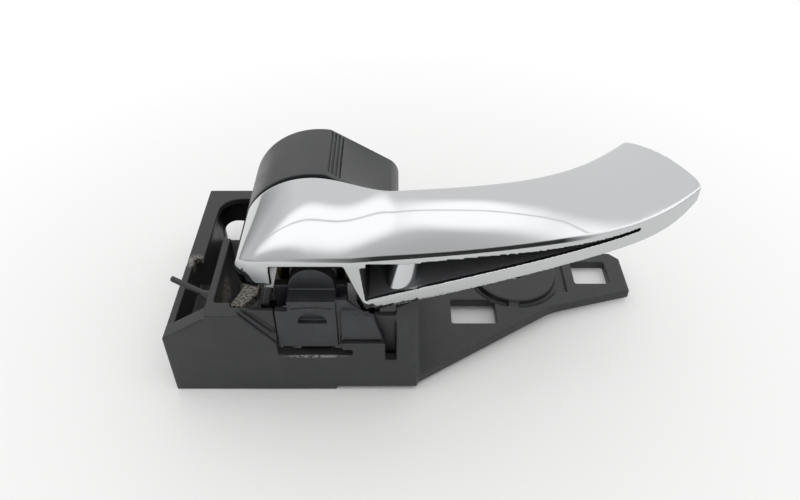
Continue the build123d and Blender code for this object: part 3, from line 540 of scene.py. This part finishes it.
def build_lever():
    """Chromed lever: the lofted outer skin, cut open as the solid is, with rounded edges."""
    hub_runs = [-HUB_RADIUS * math.sin(math.radians(turn)) for turn in range(88, 0, -2)]
    skin = loft("lever_skin", [outer_ring(run) for run in hub_runs + list(range(LEVER_END + 1))])
    skin.data.polygons.foreach_set("use_smooth", [True] * len(skin.data.polygons))
    lever = bpy.data.objects.new("pull_lever", skin.data.copy())
    # Shading of the crown, faired between the hub and the arm and towards the tip
    fair_normals = []
    for vertex in skin.data.vertices:
        run = vertex.co.x / MM - PIVOT_X
        swell = 17 * math.exp(-(((run - 21) / (10 if run < 21 else 18)) ** 2))
        tip = min(1.0, max(0.0, (run - 68) / 20))
        crown_side = min(1.0, max(0.0, vertex.normal.z / 0.5))
        turn = math.radians(swell - 11 * tip) * crown_side
        fair_normals.append(Matrix.Rotation(turn, 3, "X") @ vertex.normal)
    skin.data.normals_split_custom_set_from_vertices(fair_normals)
    scene.collection.objects.link(lever)
    # Rounded tip, cut in plan
    nose = bezier([(89.5, TIP_SHOULDER), (93.5, TIP_SHOULDER - 1.8), (100.8, 31.0), (103.9, 22.3)], 24)
    nose += bezier([(103.9, 22.3), (105.0, 19.0), (104.3, 15.0), (101.5, 12.9)], 12)
    nose += [(101.5, 12.9), (101.5, -5.0), (-40.0, -5.0), (-40.0, TIP_SHOULDER)]
    plan = [[at(run, depth, height) for run, depth in nose] for height in (-40.0, 60.0)]
    carve(lever, loft("plan", plan), "INTERSECT")
    # Hollow hub and arm, the second with a pillar left standing
    inner = (HUB_RADIUS - SKIN) / HUB_RADIUS
    hub_hollow = [hollow_ring(run * inner, SKIN, SKIN, -HUB_RADIUS) for run in hub_runs[4:]]
    hub_hollow += [hollow_ring(run, SKIN, SKIN, -HUB_RADIUS) for run in (0, 3, 6, WEB_TOP)]
    carve(lever, loft("hub_hollow", hub_hollow))
    arm_rings = []
    for k in range(ARM_STEPS + 1):
        lip = 2.5 + 1.1 * min(1.0, k / 6, (ARM_STEPS - k) / 16)
        arm_rings.append(hollow_ring(ARM_START + ARM_LENGTH * k / ARM_STEPS, -SKIN, lip, KEEL_SKIN))
    arm_hollow = loft("arm_hollow", arm_rings)
    round_plan = circle(PILLAR_RUN, 0, PILLAR_RADIUS)
    middle = LEVER_BACK - PILLAR_RADIUS
    pillar = [[at(run, middle + depth, height) for run, depth in round_plan] for height in (-30.0, 30.0)]
    carve(arm_hollow, loft("pillar", pillar))
    carve(lever, arm_hollow)
    # Window in the front skin round the bearing
    right = [(WEB_TOP, WINDOW_TOP), (WEB_FOOT, -6.0), (WEB_FOOT, -HUB_RADIUS)]
    window = [(WINDOW_LEFT, WINDOW_TOP)] + right + [(WINDOW_LEFT, -HUB_RADIUS)]
    carve(lever, prism("window", window, LEVER_FRONT - SKIN, LEVER_FRONT + SKIN + 0.1))
    # Skirt of the hub trimmed on a slope, high at the front
    side = ((1.0, 6.5), (16.0, -8.5), (16.0, -30.0), (1.0, -30.0))
    slope = [[at(run, depth, height) for depth, height in side] for run in (-30.0, SKIRT_RUN)]
    carve(lever, loft("skirt_slope", slope))
    # Slanted left end of the slot, and the room behind the window beside its slim web
    slot_end = [(13.6, 9.2), (15.6, 9.2), (15.6, -3.2), (14.9, -3.2)]
    carve(lever, prism("slot_end", slot_end, LEVER_FRONT - SKIN, 20.0))
    web = [(0, WINDOW_TOP)] + right + [(0, -HUB_RADIUS)]
    carve(lever, prism("web", web, LEVER_FRONT - SKIN, LEVER_BACK - SKIN))
    # Fine groove along the crease, tapering out at both ends
    groove = []
    radii = []
    for k in range(81):
        run = -6 + k
        front, crease = lever_sizes(run)[:3:2]
        groove.append(at(run, front + 0.2, crease + 0.2))
        radii.append(0.1 + 0.2 * min(1.0, k / 24, (80 - k) / 18))
    carve(lever, tube("groove", groove, radii, 12))
    soften(lever, 0.27, 4)
    # Foot of the skirt, curled in under the hub
    for vertex in lever.data.vertices:
        run, height = vertex.co.x / MM - PIVOT_X, vertex.co.z / MM - PIVOT_Z
        if run < SKIRT_RUN and height < SKIRT_TOP:
            depth = vertex.co.y / MM - FRONT_Y
            past_left = min(1.0, max(0.0, -13 - run) / HUB_CORNER)
            past_front = max(0.0, 13.2 - depth) / HUB_CORNER
            curl = 0.007 * (SKIRT_TOP - height) ** 2 * min(1.0, (SKIRT_RUN - run) / 4)
            vertex.co += Vector((past_left, past_front, 0)).normalized() * (curl * MM)
    shape = bmesh.new()
    shape.from_mesh(lever.data)
    foot = [v for v in shape.verts if v.co.x < (PIVOT_X - 8) * MM and v.co.z < (PIVOT_Z + 8) * MM]
    for _ in range(8):
        bmesh.ops.smooth_vert(shape, verts=foot, factor=0.5, use_axis_x=True, use_axis_y=True, use_axis_z=True)
    shape.to_mesh(lever.data)
    shape.free()
    # Fair shading on the outer skin only, and the dull inside plating away from it, whose darker grey is partly
    # painted shade in the hollows and the groove
    reach = BVHTree.FromPolygons([v.co for v in skin.data.vertices], [p.vertices for p in skin.data.polygons])
    outer = lever.vertex_groups.new(name="outer")
    fair = []
    for vertex in lever.data.vertices:
        normal, away = reach.find_nearest(vertex.co)[1::2]
        if away < 0.12 * MM and normal.dot(vertex.normal) > 0.985:
            fair.append(vertex.index)
    outer.add(fair, 1.0, "REPLACE")
    slim(lever, 0.25, skin, "outer")
    for material in (chrome, dull_plating_and_painted_shade):
        lever.data.materials.append(material)
    for face in lever.data.polygons:
        normal, away = reach.find_nearest(face.center)[1::2]
        outside = away < 0.3 * MM or (away < 1.0 * MM and normal.dot(face.normal) > 0.3)
        run, depth = face.center.x / MM - PIVOT_X, face.center.y / MM - FRONT_Y
        on_pillar = math.hypot(run - PILLAR_RUN, depth - LEVER_BACK + PILLAR_RADIUS) < PILLAR_RADIUS + 0.3
        skirt = run < SKIRT_RUN and face.center.z / MM - PIVOT_Z < SKIRT_TOP
        skirt = skirt and face.normal.dot(Vector((run, depth - SKIRT_MIDDLE, 0))) > 0
        face.material_index = 0 if outside or on_pillar or skirt else 1
    bpy.data.objects.remove(skin)
    seat(lever, "lever", ["handle_lever"])


def build_slot_post():
    """Plated post across the slot's left end, wider at its foot."""
    steps, squareness = 12, 0.85
    rings = []
    for k in range(steps + 1):
        share = k / steps
        half_run, half_depth = 5.8 - 1.5 * share, 9.6 - 0.6 * share
        ring = []
        for a, b in circle(0, 0, 1.0):
            run = 24.4 + 2.4 * share + half_run * math.copysign(abs(a) ** squareness, a)
            depth = 14.6 + 2.6 * share + half_depth * math.copysign(abs(b) ** squareness, b)
            ring.append(at(run, depth, -3.6 + 14.2 * share))
        rings.append(ring)
    post = loft("slot_post", rings)
    post.data.polygons.foreach_set("use_smooth", [len(p.vertices) == 4 for p in post.data.polygons])
    seat(post, "lever", (), [chrome])


def build_lever_crank():
    """Barrel on the pin with the bar for the release cable, moulded with the lever."""
    bar_reach, bar_half = 24, 3.5
    barrel = prism("lever_barrel", circle(0, 0, 6.8), 11.9, LEVER_BACK - 1.0)
    turn = math.radians(250)
    way, side = (math.cos(turn), math.sin(turn)), (-math.sin(turn), math.cos(turn))
    outline = [(side[0] * bar_half, side[1] * bar_half)]
    for k in range(25):
        bend = math.pi / 2 - math.pi * k / 24
        along, across = bar_reach + bar_half * math.cos(bend), bar_half * math.sin(bend)
        outline.append((way[0] * along + side[0] * across, way[1] * along + side[1] * across))
    outline.append((-side[0] * bar_half, -side[1] * bar_half))
    carve(barrel, prism("bar", outline, 22.9, 26.9), "UNION")
    carve(barrel, prism("hook", circle(way[0] * bar_reach, way[1] * bar_reach, 1.6, 32), 20.0, 30.0))
    carve(barrel, prism("bore", circle(0, 0, 2.55), 10.0, 32.0))
    soften(barrel, 0.3, 3)
    slim(barrel, 0.3)
    seat(barrel, "lever", (), [dull_plating_and_painted_shade])


def build_knob():
    """Lock knob with thumb grooves and a shallow thumb scoop in the flat."""
    scoop_length, scoop_width, scoop_depth = 9.0, 11.0, 0.9
    knob = copy_of(["lock_knob"], "lock_knob_shell")
    soften(knob, 0.17, 2)
    slope = math.radians(31.5)
    normal = Vector((math.sin(slope), 0, math.cos(slope)))
    centre = Vector((PIVOT_X + 14.0, -3.0, PIVOT_Z + 15.1)) * MM
    flat = [v for v in knob.data.vertices if v.normal.dot(normal) > 0.9 and v.co.z > (PIVOT_Z + 6) * MM]
    for vertex in flat:
        offset = vertex.co - centre
        along = offset.dot(Vector((math.cos(slope), 0, -math.sin(slope)))) / (scoop_length * MM)
        across = offset.y / (scoop_width * MM)
        dip = max(0.0, 1 - along * along) * max(0.0, 1 - across * across)
        vertex.co -= normal * (scoop_depth * MM * dip**0.7)
    slim(knob, 0.12)
    seat(knob, "knob", ["lock_knob"], [knob_plastic])


def bevel_depth(past, height):
    """Where the sloping bevel of the front right corner lies, a way past its start and at a height."""
    return max(FRONT_Y + 0.1, FRONT_Y + (0.505 * past + 0.3746 * (height - 20)) / 0.7775)


def build_base():
    """Moulded base and fixing plate with rounded edges and a rough broken edge on the left flange."""
    base = copy_of(["base_housing"], "moulded_base")
    # Notch under the block, slot beside the corner and wedge beside the panel, each a little deeper
    carve(base, slab("notch", (-73.9, -46.5, 15.2), (-52.7, -42.4, 17.6)))
    carve(base, slab("slot", (-43.3, -46.5, 13.0), (-40.2, -30.0, 40.0)))
    wedge = [(-19.8, -3.6), (-10.9, -13.9), (-10.7, -11.1), (-18.4, -3.8)]
    carve(base, prism("wedge", wedge, -0.5, 2.8))
    # Back wall of the slot, and a ledge behind the left shoulder
    back = slab("slot_back", (-46.5, -41.5, 3.0), (-40.0, -39.5, 27.0))
    shelf = [(-89.5, -33.0), (-85.2, -33.0), (-81.6, -27.6), (-81.6, -23.5), (-86.0, -23.5)]
    ledge = loft("ledge", [[(x, y, height) for x, y in shelf] for height in (19.5, 22.4)])
    # Solid corner at the front right, behind its sloping bevel
    left, right, rear = -40.2, -34.1, -33.0
    rings = []
    for height in range(3, 30, 2):
        plan = [(left, bevel_depth(1.8, height)), (right, bevel_depth(7.9, height)), (right, rear), (left, rear)]
        rings.append([(x, y, height) for x, y in plan])
    corner = loft("corner", rings)
    join(base, [ledge, back, corner, copy_of(["fixing_plate"], "plate")])
    soften(base, 0.36, 2)
    # Rough grain of the broken edge, from a fixed seed so that each run gives the same
    centre, break_reach, break_grain, break_depth = Vector(BREAK_AT) * MM, 4.5, 1.1, 0.5
    noise.seed_set(7)
    for vertex in base.data.vertices:
        away = (vertex.co - centre).length / MM
        if away < break_reach:
            rough = noise.noise_vector(vertex.co / (break_grain * MM)) * (break_depth * MM)
            vertex.co += rough * (1 - away / break_reach)
    slim(base, 0.3)
    seat(base, "base", ["base_housing", "fixing_plate"], [base_plastic])


def build_block():
    """Front bearing block, with the catch in its panel and its wing a little further forward."""
    catch_half, wing_forward = 3.9, 1.3
    block = copy_of(["bearing_block"], "pivot_block")
    # Half-round catch in the panel and the fine arched line over it
    turns = [math.pi * (1 - k / 24) for k in range(25)]
    arch = [(catch_half * math.cos(t), -8.9 + catch_half * math.sin(t)) for t in turns]
    catch = [(-catch_half, -9.4)] + arch + [(catch_half, -9.4)]
    carve(block, prism("catch", catch, -1.0, 3.6))
    line = [at(run, 2.0, -2.9 - 0.018 * run * run) for run in range(-6, 7)]
    carve(block, tube("line", line, [0.3] * len(line), 10))
    soften(block, 0.2, 2)
    wing = [v for v in block.data.vertices if v.co.x > -55.6 * MM and v.co.z < 31 * MM and v.normal.y < -0.7]
    for vertex in wing:
        vertex.co.y -= wing_forward * MM
    slim(block, 0.2)
    seat(block, "base", ["bearing_block"], [block_plastic])


def build_spring():
    """Torsion spring round the lever's barrel, with its leg and tang."""
    start, steps, coil_radius, wire_radius = math.radians(-15), 240, 9.35, 0.75
    path = []
    for k in range(steps + 1):
        turn = start + 10 * math.pi * k / steps
        depth = 12.15 + 8.5 * k / steps
        path.append(Vector(at(coil_radius * math.cos(turn), depth, coil_radius * math.sin(turn))))
    leg = path[0] - (path[1] - path[0]).normalized() * 14
    tang = path[-1] + (path[-1] - path[-2]).normalized() * 3
    path = [leg] + path + [tang]
    spring = tube("return_spring", path, [wire_radius] * len(path), 14)
    spring.data.polygons.foreach_set("use_smooth", [True] * len(spring.data.polygons))
    seat(spring, "base", ["lever_return_spring"], [wire_steel])


def dress_nodes():
    """Finishes on the small solids whose shapes are right as they are."""
    finishes = {
        "pivot_pin": pin_steel,
        "pin_retaining_ring": leaf_steel,
        "lock_detent_leaf": leaf_steel,
        "front_washer": nylon,
        "middle_washer": nylon,
        "rear_washer": nylon,
        "lever_rest_pad": rubber,
        "lever_pull_pad": rubber,
        "lock_stop_pad": rubber,
        "unlock_stop_pad": rubber,
    }
    for node, material in finishes.items():
        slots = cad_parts[node].data.materials
        slots.clear()
        slots.append(material)


def seen_share(tree):
    """One on what the camera sees, and one on what it sees also by mirror or through glass."""
    rays = add(tree, "ShaderNodeLightPath").node.outputs
    camera_ray = rays["Is Camera Ray"]
    seen = add(tree, "ShaderNodeMath", {0: camera_ray, 1: rays["Is Glossy Ray"]}, operation="ADD")
    seen = add(tree, "ShaderNodeMath", {0: seen, 1: rays["Is Transmission Ray"]}, operation="ADD", use_clamp=True)
    return camera_ray, seen


def build_stage():
    """White table, soft light from above and the camera."""
    table = mesh_piece("table", [(-420, -900, 0), (900, -900, 0), (900, 340, 0), (-420, 340, 0)], [[0, 1, 2, 3]])
    # Lacquered board: an even matt white that holds the soft shadow and goes pure white further off
    material, tree, spot = new_material("board_lacquered_white")
    away = add(tree, "ShaderNodeVectorMath", {0: spot, 1: (-40, -20, 0)}, out="Value", operation="DISTANCE")
    far = add(tree, "ShaderNodeMapRange", {0: away, 1: 45.0, 2: 200.0, 3: 0.0, 4: 1.0})
    seen = seen_share(tree)[1]
    glow = add(tree, "ShaderNodeMath", {0: far, 1: seen}, operation="MULTIPLY")
    paint = add(tree, "ShaderNodeBsdfDiffuse", {"Color": linear("#F3F3F2")})
    white = add(tree, "ShaderNodeEmission", {"Color": linear("#FFFFFF"), "Strength": 1.0})
    shader = add(tree, "ShaderNodeMixShader", {0: glow, 1: paint, 2: white})
    add(tree, "ShaderNodeOutputMaterial", {"Surface": shader})
    table.data.materials.append(material)
    # Room with a broad soft light overhead, parted by a narrow dark bar, and a dimmer side behind the camera
    world = bpy.data.worlds.new("room")
    world.use_nodes = True
    scene.world = world
    tree = world.node_tree
    tree.nodes.clear()
    way = add(tree, "ShaderNodeTexCoord", out="Generated")
    axes = add(tree, "ShaderNodeSeparateXYZ", {0: way}, out="X").node.outputs
    tilt = add(tree, "ShaderNodeVectorMath", {0: way, 1: (0, -0.2, 0.98)}, out="Value", operation="DOT_PRODUCT")
    overhead = add(
        tree, "ShaderNodeMapRange", {0: tilt, 1: 0.8, 2: 0.94, 3: 0.0, 4: 0.7}, interpolation_type="SMOOTHSTEP"
    )
    behind = add(
        tree, "ShaderNodeMapRange", {0: axes["Y"], 1: -0.98, 2: -0.4, 3: 0.66, 4: 1.0}, interpolation_type="SMOOTHSTEP"
    )
    lean = add(tree, "ShaderNodeMath", {0: axes["Y"], 1: axes["Z"]}, operation="DIVIDE")
    bar = add(tree, "ShaderNodeMath", {0: lean, 1: -0.09, 2: 0.025}, operation="COMPARE")
    bar = add(tree, "ShaderNodeMath", {0: bar, 1: -0.9}, operation="MULTIPLY")
    bar = add(tree, "ShaderNodeMath", {0: bar, 1: overhead}, operation="MULTIPLY")
    room = add(tree, "ShaderNodeMath", {0: behind, 1: overhead}, operation="ADD")
    room = add(tree, "ShaderNodeMath", {0: room, 1: bar}, operation="ADD")
    # Dim wall on the left, darkest low down
    wall = add(tree, "ShaderNodeMapRange", {0: axes["X"], 1: -0.35, 2: -0.65, 3: 0.0, 4: 1.0})
    low = add(tree, "ShaderNodeMapRange", {0: axes["Z"], 1: -0.1, 2: 0.5, 3: 0.6, 4: 0.2})
    wall = add(tree, "ShaderNodeMath", {0: wall, 1: low}, operation="MULTIPLY")
    wall = add(tree, "ShaderNodeMath", {0: 1.0, 1: wall}, operation="SUBTRACT")
    room = add(tree, "ShaderNodeMath", {0: room, 1: wall}, operation="MULTIPLY")
    camera_ray, seen = seen_share(tree)
    share = add(tree, "ShaderNodeMapRange", {0: seen, 3: 0.9, 4: 1.0})
    strength = add(tree, "ShaderNodeMath", {0: room, 1: share}, operation="MULTIPLY")
    strength = add(tree, "ShaderNodeMix", {0: camera_ray, 2: strength, 3: 1.0}, 0)
    sky = add(tree, "ShaderNodeBackground", {"Color": linear("#FFFFFF"), "Strength": strength})
    add(tree, "ShaderNodeOutputWorld", {"Surface": sky})
    # Camera at the photo's viewing angle
    camera = bpy.data.cameras.new("photo_view")
    camera.lens = 32.625
    camera.sensor_width = 36
    camera.clip_start = 0.01
    holder = bpy.data.objects.new("photo_view", camera)
    holder.location = (-0.03912, -0.18296, 0.17462)
    holder.rotation_euler = (math.radians(49), 0, 0)
    scene.collection.objects.link(holder)
    scene.camera = holder


build_lever()
build_slot_post()
build_lever_crank()
build_knob()
build_base()
build_block()
build_spring()
dress_nodes()
build_stage()
